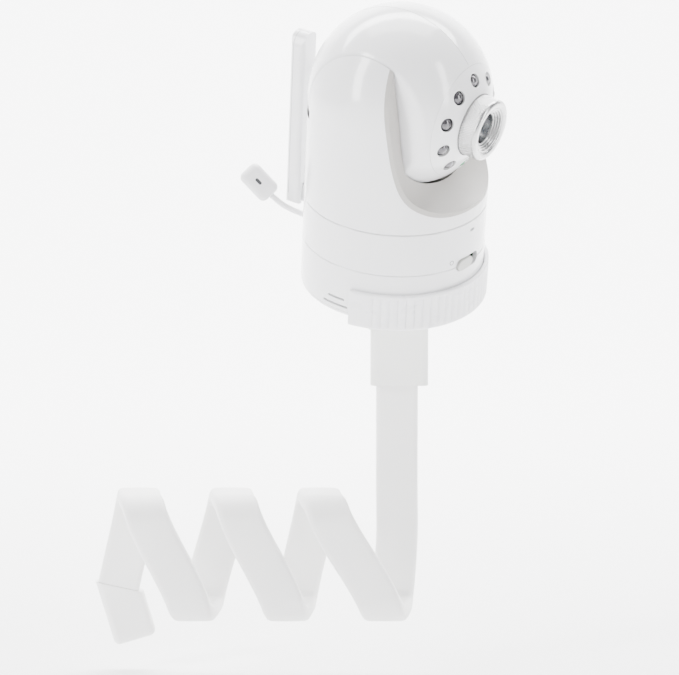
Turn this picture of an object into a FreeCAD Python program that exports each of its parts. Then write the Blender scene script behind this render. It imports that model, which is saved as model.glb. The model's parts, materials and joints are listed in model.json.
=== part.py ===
import FreeCAD, Part
import os, math

# ---------------------------------------------------------------- baby monitor camera on a flexible rail arm
# Millimetres. +Z up, X along the rail the arm grips, Y away from the viewer of the front.
# Origin: middle of the rail's cross-section, under the upright of the arm.
os.makedirs("parts", exist_ok=True)
V = FreeCAD.Vector
PI = math.pi

# ------------------------------------------------ driving dimensions
BODY_R = 41.0            # camera body radius
WALL = 2.2               # moulded wall
BASE_BOTTOM = -7.6       # camera base underside, from the unit reference point
FOOT_SEAM = -5.3
TUB_TOP = 16.55          # tub to collar parting
COLLAR_TOP = 36.64       # top of the fixed base
PAN_BOTTOM = 36.94       # bottom of the turning shells
HEAD_Z = 85.75           # head (ball) centre
HEAD_R = 41.0
HEAD_HALF = 28.7         # half width of the ball slice
SLOT_HALF = 29.3         # half width of the space between the cheeks
BOWL_R = 42.0            # bowl the ball turns in
HEAD_FLAT = -30.0        # flat underside of the ball, below its centre
LENS_TILT = 5.0          # lens looks down by this, degrees
LED_CIRCLE = 30.4        # angular radius of the LED circle, degrees
FACE_ANGLE = 39.5        # angular radius of the face plate
LENS_RING_R = 14.0
LENS_RING_FRONT = 47.0   # front of the lens ring from the ball centre
GEAR_M = 0.8             # gear module
PAN_GEAR_N, TILT_GEAR_N, PINION_N = 36, 24, 12
ANT_Y, ANT_PIVOT_Z, ANT_TOP = 51.2, 23.5, 102.4
ANT_W, ANT_T = 12.0, 7.2
CRADLE_RI, CRADLE_RO = 41.3, 43.3
CRADLE_LOW, CRADLE_FLOOR, CRADLE_TOP = -9.9, -8.0, 7.7
CRADLE_SPAN = 84.7       # half angle of the cradle wall about the front, degrees
PIVOT_DROP = 18.0        # cradle pivot below the unit reference point
ARM_W, ARM_T = 19.0, 7.5
ARM_Y = 16.8             # centre of the upright behind the rail
FLEX_Z = 34.0            # where the upright bends
NECK_W, NECK_T = 26.2, 14.0
NECK_Z0, NECK_Z1 = 75.4, 103.1
ARM_TOP = 99.4           # top of the arm inside the neck sleeve
NECK_SCREW_Z = (82.6, 92.6)
RAIL_Y, RAIL_Z = 12.5, 21.0      # half thickness and half height of the rail
LEAN, ROLL = 22.129, 2.348       # how the unit leans on its pivot, degrees
FRONT_AZ = 57.5                  # how far the front is turned to the right, degrees
UNIT_O = V(-2.42, 10.0, 129.87)  # unit reference point

# ------------------------------------------------ unit frame
tau, rho = math.radians(LEAN), math.radians(ROLL)
ax_a = V(math.sin(rho) * math.cos(tau), -math.sin(tau), math.cos(rho) * math.cos(tau))
ax_a.normalize()
e2 = ax_a.cross(V(1, 0, 0)); e2.normalize()
e1 = e2.cross(ax_a); e1.normalize()
az = math.radians(FRONT_AZ)
front = e1 * math.sin(az) - e2 * math.cos(az)
side = e1 * math.cos(az) + e2 * math.sin(az)
UNIT = FreeCAD.Placement(FreeCAD.Matrix(
    side.x, -front.x, ax_a.x, UNIT_O.x,
    side.y, -front.y, ax_a.y, UNIT_O.y,
    side.z, -front.z, ax_a.z, UNIT_O.z,
    0, 0, 0, 1))
PIVOT = UNIT_O - ax_a * PIVOT_DROP

X, Y, Z = V(1, 0, 0), V(0, 1, 0), V(0, 0, 1)
H = V(0, 0, HEAD_Z)


def box(x0, x1, y0, y1, z0, z1):
    return Part.makeBox(x1 - x0, y1 - y0, z1 - z0, V(x0, y0, z0))


def cyl(r, h, p=V(0, 0, 0), d=Z):
    return Part.makeCylinder(r, h, p, d)


def tube(ro, ri, h, p=V(0, 0, 0), d=Z):
    return cyl(ro, h, p, d).cut(Part.makeCylinder(ri, h, p, d))


def ball(r, c=H):
    return Part.makeSphere(r, c)


def poly_face(pts):
    return Part.Face(Part.makePolygon(list(pts) + [pts[0]]))


def revolve_z(pts):
    return poly_face([V(r, 0, z) for r, z in pts]).revolve(V(0, 0, 0), Z, 360)


def rot_z(s, deg, c=V(0, 0, 0), d=Z):
    s = s.copy()
    s.rotate(c, d, deg)
    return s


def stadium(w, h, t, y0, z):
    """Rounded slot shape in the XZ plane, centred on x=0, extruded from y0 by t along +Y."""
    r = h / 2.0
    s = box(-w / 2 + r, w / 2 - r, y0, y0 + t, z - r, z + r)
    for sx in (-1, 1):
        s = s.fuse(cyl(r, t, V(sx * (w / 2 - r), y0, z), Y))
    return s.removeSplitter()


def rbox(x0, x1, y0, y1, z0, z1, r, edges="z"):
    s = box(x0, x1, y0, y1, z0, z1)
    k = {"x": V(1, 0, 0), "y": V(0, 1, 0), "z": V(0, 0, 1)}
    es = []
    for e in s.Edges:
        t = e.tangentAt(e.FirstParameter)
        if any(abs(abs(t.dot(k[c])) - 1) < 1e-6 for c in edges):
            es.append(e)
    return s.makeFillet(r, es)


def save(name, shape, unit=True):
    sol = shape.Solids
    shape = sol[0] if len(sol) == 1 else Part.makeCompound(sol)
    if unit:
        shape = shape.copy()
        shape.Placement = UNIT.multiply(shape.Placement)
    assert all(s.isValid() and s.Volume > 0 for s in shape.Solids), name
    shape.exportStep("parts/%s.step" % name)
    bb = shape.BoundBox
    print("%-22s %d solid(s) %9.1f mm3  x %.1f..%.1f y %.1f..%.1f z %.1f..%.1f" % (
        name, len(shape.Solids), shape.Volume, bb.XMin, bb.XMax, bb.YMin, bb.YMax, bb.ZMin, bb.ZMax))


def gear_face(n, m, add, ded, tooth=0.45, start=0.0):
    """Involute spur gear outline, a tooth centred on angle start."""
    rp = m * n / 2.0
    rb = rp * math.cos(math.radians(20))
    ra, rf = rp + add, rp - ded
    inv = lambda a: math.tan(a) - a
    half_p = tooth * PI * m / 2 / rp

    def half(r):
        r = max(r, rb)
        return half_p + inv(math.radians(20)) - inv(math.acos(min(1, rb / r)))
    rs = [rf, max(rb, rf + 0.01), (max(rb, rf) + rp) / 2, rp, (rp + ra) / 2, ra]
    pts = []
    for i in range(n):
        c = start + 2 * PI * i / n
        for r in rs:
            pts.append(V(r * math.cos(c - half(r)), r * math.sin(c - half(r)), 0))
        for r in reversed(rs):
            pts.append(V(r * math.cos(c + half(r)), r * math.sin(c + half(r)), 0))
    return poly_face(pts)


# ------------------------------------------------ camera base
R = BODY_R
RI = R - 2.3
foot_arc = [(38.0 + 3.0 * math.cos(a), BASE_BOTTOM + 3.0 + 3.0 * math.sin(a)) for a in
            [math.radians(-90 + 9 * i) for i in range(8)]]
foot = revolve_z([(0, BASE_BOTTOM)] + foot_arc + [(R - 0.35, FOOT_SEAM), (38.4, FOOT_SEAM), (38.4, -3.6),
                 (36.8, -3.6), (36.8, BASE_BOTTOM + 2.0), (0, BASE_BOTTOM + 2.0)])
screw_xy = [(27 * math.cos(math.radians(a)), 27 * math.sin(math.radians(a))) for a in (35, 155, 275)]
pad_xy = [(31 * math.cos(math.radians(a)), 31 * math.sin(math.radians(a))) for a in (95, 215, 335)]
for x, y in screw_xy:
    foot = foot.cut(cyl(1.6, 4, V(x, y, BASE_BOTTOM - 1))).cut(cyl(3.0, 1.2, V(x, y, BASE_BOTTOM - 0.2)))
for x, y in pad_xy:
    foot = foot.cut(cyl(4.0, 0.8, V(x, y, BASE_BOTTOM - 0.1)))
save("base_foot_cover", foot)
save("rubber_feet", Part.makeCompound([cyl(3.9, 1.0, V(x, y, BASE_BOTTOM - 0.3)) for x, y in pad_xy]))

tub = revolve_z([(R - 0.35, FOOT_SEAM + 0.1), (R, FOOT_SEAM + 0.5), (R, TUB_TOP - 0.35), (R - 0.35, TUB_TOP),
                 (RI, TUB_TOP), (RI, FOOT_SEAM + 0.1)])
for x, y in screw_xy:
    tub = tub.fuse(tube(3.4, 1.25, 11.0, V(x, y, -5.4)))
# ribs that carry the screw posts
for a in (35, 155, 275):
    rib = box(29.9, RI + 0.3, -0.9, 0.9, -3.2, 3.0)
    tub = tub.fuse(rot_z(rib, a))
SW = -4.45               # power switch slot, degrees from the front
slot = rot_z(stadium(16.0, 6.0, 8.0, -43.0, 17.0), SW)
tub = tub.cut(slot)
for z, d0, d1 in ((0.7, -102.0, -89.4), (-2.7, -106.0, -87.0)):
    mid, w = (d0 + d1) / 2, math.radians(d1 - d0) * R
    tub = tub.cut(rot_z(stadium(w, 1.1, 6, -43, z), mid))
INLET = 146.0
tub = tub.cut(rot_z(stadium(8.6, 3.6, 6, -43, 4.0), INLET))
BTN = 104.0
tub = tub.cut(rot_z(cyl(3.3, 6, V(0, -43, 4.0), Y), BTN))
save("base_tub", tub)

wall = revolve_z([(R - 0.35, TUB_TOP + 0.1), (R, TUB_TOP + 0.45), (R, COLLAR_TOP - 0.35), (R - 0.35, COLLAR_TOP),
                  (RI, COLLAR_TOP), (RI, TUB_TOP + 0.1)])
deck = tube(RI + 0.2, 9.05, 2.1, V(0, 0, 33.9))
spigot = tube(RI - 0.1, RI - 1.7, 6.4, V(0, 0, TUB_TOP - 2.2))
link = revolve_z([(RI - 1.7, TUB_TOP + 2.2), (RI + 0.2, TUB_TOP + 2.2), (RI + 0.2, TUB_TOP + 4.2), (RI - 1.7, TUB_TOP + 4.2)])
collar = wall.fuse([deck, spigot, link]).cut(slot)
collar = collar.cut(rot_z(box(-22, 22, -40, -30, TUB_TOP - 4, TUB_TOP + 2.0), SW).common(
    revolve_z([(0, 0), (RI - 0.05, 0), (RI - 0.05, 30), (0, 30)])))
LIGHT = -1.9
collar = collar.cut(rot_z(stadium(3.2, 1.3, 5, -43, 32.3), LIGHT))
for a in (150, 210):     # wire holes in the deck
    collar = collar.cut(rot_z(cyl(2.4, 4, V(0, -16, 33)), a))
save("base_collar", collar)
save("status_light", rot_z(stadium(3.0, 1.1, 3.2, -40.75, 32.3), LIGHT))
save("base_screws", Part.makeCompound([cyl(2.7, 0.9, V(x, y, BASE_BOTTOM + 0.1)).fuse(
    cyl(1.2, 9.6, V(x, y, BASE_BOTTOM + 0.95))).cut(box(x - 2, x + 2, y - 0.3, y + 0.3, BASE_BOTTOM, BASE_BOTTOM + 0.55))
    for x, y in screw_xy]))
board = cyl(36.0, 1.6, V(0, 0, 8.2))
for x, y in screw_xy:
    board = board.cut(cyl(1.6, 4, V(x, y, 7)))
board = board.cut(cyl(10.0, 4, V(19.2, 0, 7))).cut(rot_z(box(-12, 12, -40, -29, 7, 12), SW))
save("base_board", board)
# chips and sockets stand on the board
save("board_parts", Part.makeCompound([box(-12, 2, -8, 6, 9.85, 11.2), box(-22, -14, 8, 14, 9.85, 11.8),
                                        box(-6, 6, 20, 26, 9.85, 15.0), box(-24, -18, -16, -6, 9.85, 11.2)]))
save("speaker", revolve_z([(0, -3.2), (11, -3.2), (11, 0.5), (6.5, 0.9), (6.5, 4.0), (0, 4.0)]).translated(V(-18, -4, 0)))
inlet = rbox(-6.2, 6.2, -38.1, -29.0, 1.2, 7.0, 0.6, "y").cut(stadium(8.2, 3.2, 6.5, -39.0, 4.0)).fuse(
    box(-2.6, 2.6, -37.2, -31, 3.65, 4.35))
save("power_inlet", rot_z(inlet, INLET))
sw_body = box(-11.5, 11.5, -34.9, -31.0, 12.6, 21.4).fuse(box(-9.0, 9.0, -31.0, -30.0, 9.8, 14.0))
save("switch_body", rot_z(sw_body, SW))
save("pan_bearing_ring", tube(30.0, 22.0, 2.2, V(0, 0, 36.02)))

# switch knob at the off end of the slot, travels 5 mm towards the other end
knob = stadium(10.4, 5.3, 5.1, -41.7, 17.0)
kn = [e for e in knob.Edges if e.BoundBox.YMax < -41.6]
try:
    knob = knob.makeFillet(0.5, kn)
except Exception:
    pass
save("switch_knob", rot_z(knob.translated(V(-2.6, 0, 0)), SW))

# pairing button in the rear of the tub
btn = cyl(2.95, 5.4, V(0, -41.4, 4.0), Y)
btn = btn.makeChamfer(0.4, [e for e in btn.Edges if e.BoundBox.YMax < -41.3])
btn = btn.fuse(cyl(4.2, 1.0, V(0, -38.05, 4.0), Y)).fuse(cyl(1.2, 2.0, V(0, -36.1, 4.0), Y))
save("pairing_button", rot_z(btn, BTN))
save("button_switch", rot_z(box(-3.2, 3.2, -32.4, -28.8, 1.0, 7.4), BTN))

# pan drive: fixed motor with a pinion, gear on the turning spindle
PC = GEAR_M * (PAN_GEAR_N + PINION_N) / 2          # 19.2
motor = cyl(9.0, 13.6, V(PC, 0, 11.4)).cut(cyl(1.05, 6.6, V(PC, 0, 18.6)))
motor = motor.fuse(box(PC - 3, PC + 3, -13.5, 13.5, 24.0, 25.0).cut(cyl(1.05, 30, V(PC, 0, 10))))
save("pan_motor", motor)
pin_z0, pin_h = 27.0, 4.0
pinion = gear_face(PINION_N, GEAR_M, 0.7, 1.0, start=PI + PI / PINION_N).extrude(V(0, 0, pin_h)).translated(V(PC, 0, pin_z0))
save("pan_pinion", pinion.fuse(cyl(1.0, 8.2, V(PC, 0, pin_z0 - 8.2))))
gear = gear_face(PAN_GEAR_N, GEAR_M, 0.55, 1.0).extrude(V(0, 0, pin_h)).cut(cyl(9.02, pin_h + 2, V(0, 0, -1)))
save("pan_gear", gear.translated(V(0, 0, pin_z0)))
save("spindle_clip", tube(12.0, 9.02, 0.8, V(0, 0, 25.9)).cut(box(-1.2, 1.2, 0, 14, 25, 28)))
table = cyl(38.6, 2.4, V(0, 0, 38.4)).fuse(cyl(9.0, 13.0, V(0, 0, 25.4))).cut(cyl(6.0, 20, V(0, 0, 24)))
tscrew = [(sx * 33.4, sy * 11.0) for sx in (-1, 1) for sy in (-1, 1)]
for x, y in tscrew:
    table = table.cut(cyl(1.3, 4, V(x, y, 37.5)))
save("turntable", table)
save("turntable_screws", Part.makeCompound([cyl(2.2, 0.55, V(x, y, 37.82)).fuse(cyl(1.0, 9.0, V(x, y, 38.3)))
                                            for x, y in tscrew]))

# ------------------------------------------------ turning upper shells and grey cup liner
J = [(13.7, 22.0), (15.3, 13.0), (17.2, 2.4), (19.0, -9.4), (21.6, -21.3), (25.3, -30.5), (28.1, -34.1),
     (31.0, -36.6), (36.5, -39.9), (43.0, -41.3)]
J = [(12.2, 30.5)] + J


def j_curve(dx=0.0, dz=0.0):
    c = Part.BSplineCurve()
    c.interpolate([V(0, -(f + dx), HEAD_Z + u + dz) for f, u in J])
    return c


def j_region(dx, dz):
    """Everything in front of the opening's edge, as a prism across X."""
    c = j_curve(dx, dz)
    a, b = c.StartPoint, c.EndPoint
    p = [b, V(0, -70, b.z), V(0, -70, HEAD_Z + 60), V(0, a.y, HEAD_Z + 60), a]
    w = Part.Wire([c.toShape()] + [Part.LineSegment(p[i], p[i + 1]).toShape() for i in range(4)])
    f = Part.Face(w)
    f.translate(V(-60, 0, 0))
    return f.extrude(V(120, 0, 0))


def dome(r, z0, cut=0.0):
    """Body of revolution: cylinder from z0 to the ball centre, half ball above."""
    s = cyl(r, HEAD_Z - z0, V(0, 0, z0)).fuse(Part.makeSphere(r, H, Z, 0, 90, 360))
    return s


jr = j_region(-1.5, -1.5)
jr0 = j_region(0, 0)
slab = box(-SLOT_HALF, SLOT_HALF, -60, 60, 30, 140)
bowl_space = ball(BOWL_R).common(slab)
skin_o = cyl(R, HEAD_Z - PAN_BOTTOM, V(0, 0, PAN_BOTTOM))
skin_o = skin_o.makeChamfer(0.35, [e for e in skin_o.Edges if e.BoundBox.ZMax < PAN_BOTTOM + 0.1])
skin_o = skin_o.fuse(Part.makeSphere(R, H, Z, 0, 90, 360))
skin = skin_o.cut(dome(R - WALL, PAN_BOTTOM - 1)).cut(jr).cut(bowl_space)
for nm, x0, x1 in (("upper_shell_left", -60, -0.04), ("upper_shell_right", 0.04, 60)):
    save(nm, skin.common(box(x0, x1, -60, 60, 30, 140)))

inner = dome(R - WALL - 0.05, 44.6)
behind = inner.cut(jr0)
walls = box(-SLOT_HALF - 1.8, -SLOT_HALF, -45, 45, 44.6, 140).fuse(box(SLOT_HALF, SLOT_HALF + 1.8, -45, 45, 44.6, 140))
walls = walls.common(behind)
cup = ball(BOWL_R + 1.8).cut(ball(BOWL_R)).common(box(-SLOT_HALF - 0.9, SLOT_HALF + 0.9, -45, 45, 41.3, 74.0))
cup = cup.common(dome(R - WALL - 0.05, 41.0)).cut(jr0)
strip = dome(R, 43.0).common(jr).cut(jr0).cut(bowl_space)
liner = walls.fuse([cup, strip])
for x, y in tscrew:
    post = cyl(3.0, 16.0, V(x, y, 40.85)).cut(ball(BOWL_R + 1.0)).cut(box(-SLOT_HALF - 0.1, SLOT_HALF + 0.1, -60, 60, 30, 140))
    liner = liner.fuse(post)
for x, y in tscrew:
    liner = liner.cut(cyl(1.05, 8, V(x, y, 40)))
for sx in (-1, 1):
    liner = liner.cut(cyl(6.0, 6, V(sx * 28, 0, HEAD_Z), X * sx))
save("cup_liner", liner)

# trunnion hubs: fixed in the cheeks, the ball turns on them
gz = 0.0
for nm, sx in (("tilt_hub_left", -1), ("tilt_hub_right", 1)):
    h = cyl(5.98, 12.4, V(sx * 20.6, 0, HEAD_Z), X * sx).fuse(cyl(8.5, 1.6, V(sx * 31.15, 0, HEAD_Z), X * sx))
    h = h.cut(cyl(3.5, 14, V(sx * 20.0, 0, HEAD_Z), X * sx))
    save(nm, h)
tg = gear_face(TILT_GEAR_N, GEAR_M, 0.55, 1.0, start=0.0)
tg = tg.extrude(V(0, 0, 3.2)).cut(cyl(6.0, 6, V(0, 0, -1)))
tg.rotate(V(0, 0, 0), Y, 90)                        # gear axis along X; old +X -> -Z
TD = math.radians(135)                              # motor direction: back and up
tg.rotate(V(0, 0, 0), X, 0)
# turn the gear so that a tooth points at the pinion
cy_, cz_ = math.cos(math.radians(45)), math.sin(math.radians(45))   # +Y, +Z direction of the motor
tg.rotate(V(0, 0, 0), X, 0)
TC = GEAR_M * (TILT_GEAR_N + PINION_N) / 2          # 14.4
MY, MZ = TC * cy_, TC * cz_
# after the first turn a tooth points along -Z; the motor lies 135 degrees from it about X
tg.rotate(V(0, 0, 0), X, 135)
save("tilt_gear", tg.translated(V(-24.2, 0, HEAD_Z)))
tp = gear_face(PINION_N, GEAR_M, 0.7, 1.0, start=PI / PINION_N).extrude(V(0, 0, 3.2))
tp.rotate(V(0, 0, 0), Y, 90)
tp.rotate(V(0, 0, 0), X, 135 + 180)
tp = tp.translated(V(-24.2, MY, HEAD_Z + MZ))
save("tilt_pinion", tp.fuse(cyl(1.0, 9.0, V(-24.2, MY, HEAD_Z + MZ), X)))
save("tilt_motor", cyl(8.0, 14.0, V(-20.2, MY, HEAD_Z + MZ), X).cut(cyl(1.05, 6.4, V(-21, MY, HEAD_Z + MZ), X)).fuse(
    box(-8.0, -7.0, MY - 10.5, MY + 10.5, HEAD_Z + MZ - 3, HEAD_Z + MZ + 3)))

# ------------------------------------------------ head (ball slice)


def slice_solid(r, half, rf):
    """Ball slice with rounded shoulders, axis X through the head centre."""
    k = r - rf
    cx = half - rf
    cr = math.sqrt(k * k - cx * cx)
    tx, tr = cx * r / k, cr * r / k
    mx, mr = cx + rf * math.cos(math.atan2(cr, cx) / 2), cr + rf * math.sin(math.atan2(cr, cx) / 2)
    P = lambda x, q: V(x, 0, q)
    es = [Part.LineSegment(P(-half, 0), P(-half, cr)).toShape(),
          Part.Arc(P(-half, cr), P(-mx, mr), P(-tx, tr)).toShape(),
          Part.Arc(P(-tx, tr), P(0, r), P(tx, tr)).toShape(),
          Part.Arc(P(tx, tr), P(mx, mr), P(half, cr)).toShape(),
          Part.LineSegment(P(half, cr), P(half, 0)).toShape(),
          Part.LineSegment(P(half, 0), P(-half, 0)).toShape()]
    f = Part.Face(Part.Wire(es))
    s = f.revolve(V(0, 0, 0), X, 360)
    s = Part.Solid(s.Shells[0]) if not s.Solids else s.Solids[0]
    if s.Volume < 0:
        s.reverse()
    return s.translated(H)


ball_o = slice_solid(HEAD_R, HEAD_HALF, 3.2).cut(box(-50, 50, -60, 60, HEAD_Z - 60, HEAD_Z + HEAD_FLAT))
fe = [e for e in ball_o.Edges if e.BoundBox.ZMax < HEAD_Z + HEAD_FLAT + 0.01]
try:
    b2 = ball_o.makeFillet(0.8, fe)
    if b2.isValid() and b2.Solids:
        ball_o = b2.Solids[0]
except Exception as ex:
    print("chin edge left sharp", ex)
ball_i = slice_solid(HEAD_R - WALL, HEAD_HALF - WALL, 1.4).cut(box(-50, 50, -60, 60, HEAD_Z - 60, HEAD_Z + HEAD_FLAT + WALL))
head = ball_o.cut(ball_i)
lt = math.radians(LENS_TILT)
LN = V(0, -math.cos(lt), -math.sin(lt))             # lens direction
LU = V(0, -math.sin(lt), math.cos(lt))              # up across the lens
for sx in (-1, 1):
    head = head.cut(cyl(8.0, 8, V(sx * 25, 0, HEAD_Z), X * sx))
fa = math.radians(FACE_ANGLE)


def lens_cone(ang, length=60.0):
    return Part.makeCone(0.0, length * math.tan(ang), length, H, LN)


gap = math.radians(0.14)
shell = head.cut(lens_cone(fa))
# seat that carries the face plate
for nm, x0, x1 in (("head_shell_left", -60, -0.04), ("head_shell_right", 0.04, 60)):
    save(nm, shell.common(box(x0, x1, -60, 60, 20, 140)))
plate = head.common(lens_cone(fa - gap)).cut(cyl(LENS_RING_R + 0.35, 60, H, LN))
LR = V(1, 0, 0)


def led_dir(psi):
    a, p = math.radians(LED_CIRCLE), math.radians(psi)
    return LN * math.cos(a) + (LU * math.cos(p) + LR * math.sin(p)) * math.sin(a)


led_psi = [0, 36, -36, 72, -72, 108, -108, 144, -144]
for p in led_psi + [180]:
    plate = plate.cut(cyl(3.3, 10, H + led_dir(p) * 35, led_dir(p)))
save("face_plate", plate)


def led(p):
    d = led_dir(p)
    s = cyl(2.5, 3.4, H + d * 34.6, d).fuse(Part.makeSphere(2.5, H + d * 38.0))
    return s.fuse(cyl(2.9, 0.8, H + d * 34.6, d))


save("ir_leds", Part.makeCompound([led(p) for p in led_psi]))
save("light_sensor", led(180))
led_board = cyl(23.0, 1.4, H + LN * 26.6, LN).cut(cyl(10.4, 4, H + LN * 26, LN))
save("led_board", led_board)
# lens barrel, focus ring and moving lens cell
holder = cyl(9.8, 17.0, H + LN * 24.0, LN).fuse(cyl(13.0, 1.8, H + LN * 23.0, LN)).cut(cyl(7.6, 30, H + LN * 20.0, LN))
save("lens_holder", holder)
ib = cyl(13.0, 1.4, H + LN * 21.4, LN)
save("image_board", ib)
sens = Part.makeBox(9, 9, 0.9)
sens.translate(V(-4.5, -4.5, 0))
sens.Placement = FreeCAD.Placement(H + LN * 22.85, FreeCAD.Rotation(Z, LN)).multiply(sens.Placement)
save("image_sensor", sens)
ring = cyl(LENS_RING_R, LENS_RING_FRONT - 34.0, H + LN * 34.0, LN)
fe = [e for e in ring.Edges if (e.CenterOfMass - H).dot(LN) > LENS_RING_FRONT - 0.1]
ring = ring.makeChamfer(0.7, fe)
ring = ring.cut(cyl(9.86, 8.0, H + LN * 33.0, LN)).cut(cyl(10.3, 12.0, H + LN * 41.0, LN))
save("lens_barrel", ring)
save("lens_seal", tube(13.6, 10.1, 0.85, H + LN * 33.0, LN))
cell = cyl(7.52, 10.5, H + LN * 31.0, LN).fuse(cyl(10.28, 1.4, H + LN * 41.2, LN)).cut(cyl(5.8, 20, H + LN * 29, LN)).cut(
    cyl(6.8, 8.0, H + LN * 37.0, LN))
save("lens_cell", cell)
g = cyl(6.75, 1.6, H + LN * 37.05, LN).fuse(cyl(6.75, 3, H + LN * 38.5, LN).common(Part.makeSphere(16.0, H + LN * 24.0)))
save("lens_glass", g)
save("tilt_bushes", Part.makeCompound([tube(7.95, 6.03, 2.6, V(sx * 26.0, 0, HEAD_Z), X * sx).fuse(
    tube(9.6, 6.03, 1.0, V(sx * 25.4, 0, HEAD_Z), X * sx)) for sx in (-1, 1)]))

# ------------------------------------------------ aerial and room sensor
AZ0, AZ1 = 18.8, 28.3                               # foot of the aerial, low and high
brk = box(-4.6, 4.6, 40.0, 42.6, AZ0, AZ1).fuse(box(-2.6, 2.6, 40.0, ANT_Y, AZ0 + 0.9, AZ1 - 1.0)).cut(
    cyl(R + 0.01, 60, V(0, 0, -5)))
brk = brk.fuse(cyl(3.6, 5.2, V(-2.6, ANT_Y, ANT_PIVOT_Z), X)).cut(cyl(1.5, 20, V(-10, ANT_Y, ANT_PIVOT_Z), X)).removeSplitter()
save("aerial_bracket", brk)
save("aerial_pin", cyl(1.48, 10.3, V(-4.5, ANT_Y, ANT_PIVOT_Z), X))
blade = rbox(-ANT_W / 2, ANT_W / 2, ANT_Y - ANT_T / 2, ANT_Y + ANT_T / 2, AZ0, ANT_TOP, 2.2, "z")
cap_ = cyl(ANT_W / 2, 40, V(0, ANT_Y - 20, ANT_TOP - ANT_W / 2), Y).fuse(
    rbox(-ANT_W / 2, ANT_W / 2, ANT_Y - 20, ANT_Y + 20, AZ0, ANT_TOP - ANT_W / 2 - 10, 1.6, "y")).fuse(
    box(-ANT_W / 2, ANT_W / 2, ANT_Y - 20, ANT_Y + 20, AZ0 + 4, ANT_TOP - ANT_W / 2))
blade = blade.common(cap_).cut(box(-2.9, 2.9, 40, 60, AZ0 - 1, AZ1 + 0.2))
blade = blade.cut(cyl(1.55, 14.0, V(-4.6, ANT_Y, ANT_PIVOT_Z), X))
save("aerial_blade", blade.removeSplitter())

# room temperature sensor on a short stiff lead; points in the unit frame (x, y, z)
LEAD_D = 2.6


def polar(delta, r, z):
    d = math.radians(delta)
    return V(r * math.sin(d), -r * math.cos(d), z)


LEAD = [V(7.6, 42.4, 5.4), V(4.9, 46.6, 7.9), V(0.4, 49.2, 11.3), V(-6.0, 51.2, 15.6), V(-11.0, 53.8, 19.9), V(-13.9, 57.0, 24.4)]
HEAD_DIR = V(-0.26, 0.66, 0.70)                     # way the sensor head points
VIEW_DIR = V(-0.7465, -0.4537, 0.4868)              # its broad face looks this way


def lead_wire(pts):
    n = len(pts)
    cut, edges, rad = [], [], []
    for i in range(1, n - 1):
        a, b = pts[i - 1] - pts[i], pts[i + 1] - pts[i]
        la, lb = a.Length, b.Length
        a.normalize(); b.normalize()
        turn = PI - math.acos(max(-1, min(1, a.dot(b))))
        d = 0.45 * min(la, lb)
        rad.append(d / math.tan(turn / 2))
        bis = a + b
        bis.normalize()
        r = rad[-1]
        c = pts[i] + bis * (math.sqrt(r * r + d * d))
        cut.append((pts[i] + a * d, c - bis * r, pts[i] + b * d))
    p = pts[0]
    for s, m, e in cut:
        edges.append(Part.LineSegment(p, s).toShape())
        edges.append(Part.Arc(s, m, e).toShape())
        p = e
    edges.append(Part.LineSegment(p, pts[-1]).toShape())
    w = Part.Wire(edges)
    print("lead runs", [round((pts[i + 1] - pts[i]).Length, 1) for i in range(n - 1)], "radii", [round(r, 1) for r in rad],
          "length", round(w.Length, 2))
    return w


w = lead_wire(LEAD)
d0 = LEAD[1] - LEAD[0]
prof = Part.Wire([Part.makeCircle(LEAD_D / 2, LEAD[0], d0)])
lead = w.makePipeShell([prof], True, True)
print("lead volume", round(lead.Volume, 2), "expected", round(PI * LEAD_D ** 2 / 4 * w.Length, 2))
save("sensor_lead", lead)
gd = LEAD[1] - LEAD[0]; gd.normalize()
gland = Part.makeCone(3.4, 2.3, 4.4, LEAD[0] - gd * 4.4, gd).cut(cyl(R + 0.01, 60, V(0, 0, -20)))
save("sensor_gland", gland)
# sensor head: rounded block with a small dark vent, the lead enters one end
HEAD_DIR.normalize()
nv = VIEW_DIR - HEAD_DIR * VIEW_DIR.dot(HEAD_DIR); nv.normalize()
wv = HEAD_DIR.cross(nv)
hp = FreeCAD.Placement(FreeCAD.Matrix(wv.x, -nv.x, HEAD_DIR.x, LEAD[-1].x, wv.y, -nv.y, HEAD_DIR.y, LEAD[-1].y,
                                      wv.z, -nv.z, HEAD_DIR.z, LEAD[-1].z, 0, 0, 0, 1))
hs = rbox(-4.9, 4.9, -3.6, 3.6, 0, 16.0, 2.4, "z")
h2 = hs.makeFillet(1.4, [e for e in hs.Edges if e.BoundBox.ZMax < 0.01 or e.BoundBox.ZMin > 15.99])
hs = h2 if h2.isValid() else hs
hs = hs.cut(stadium(3.1, 1.1, 1.2, 0, 0).rotated(V(0, 0, 0), Y, 90).translated(V(-0.6, -3.7, 9.2)))
hs.Placement = hp.multiply(hs.Placement)
save("sensor_head", hs)

# ------------------------------------------------ cradle (leans with the unit, lug square to the pivot)


def wedge(r, z0, z1, half):
    """Pie about the front (-Y)."""
    n = 16
    pts = [V(0, 0, z0)] + [V(r * math.sin(math.radians(-half + 2 * half * i / n)),
                             -r * math.cos(math.radians(-half + 2 * half * i / n)), z0) for i in range(n + 1)]
    return poly_face(pts).extrude(V(0, 0, z1 - z0))


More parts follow.
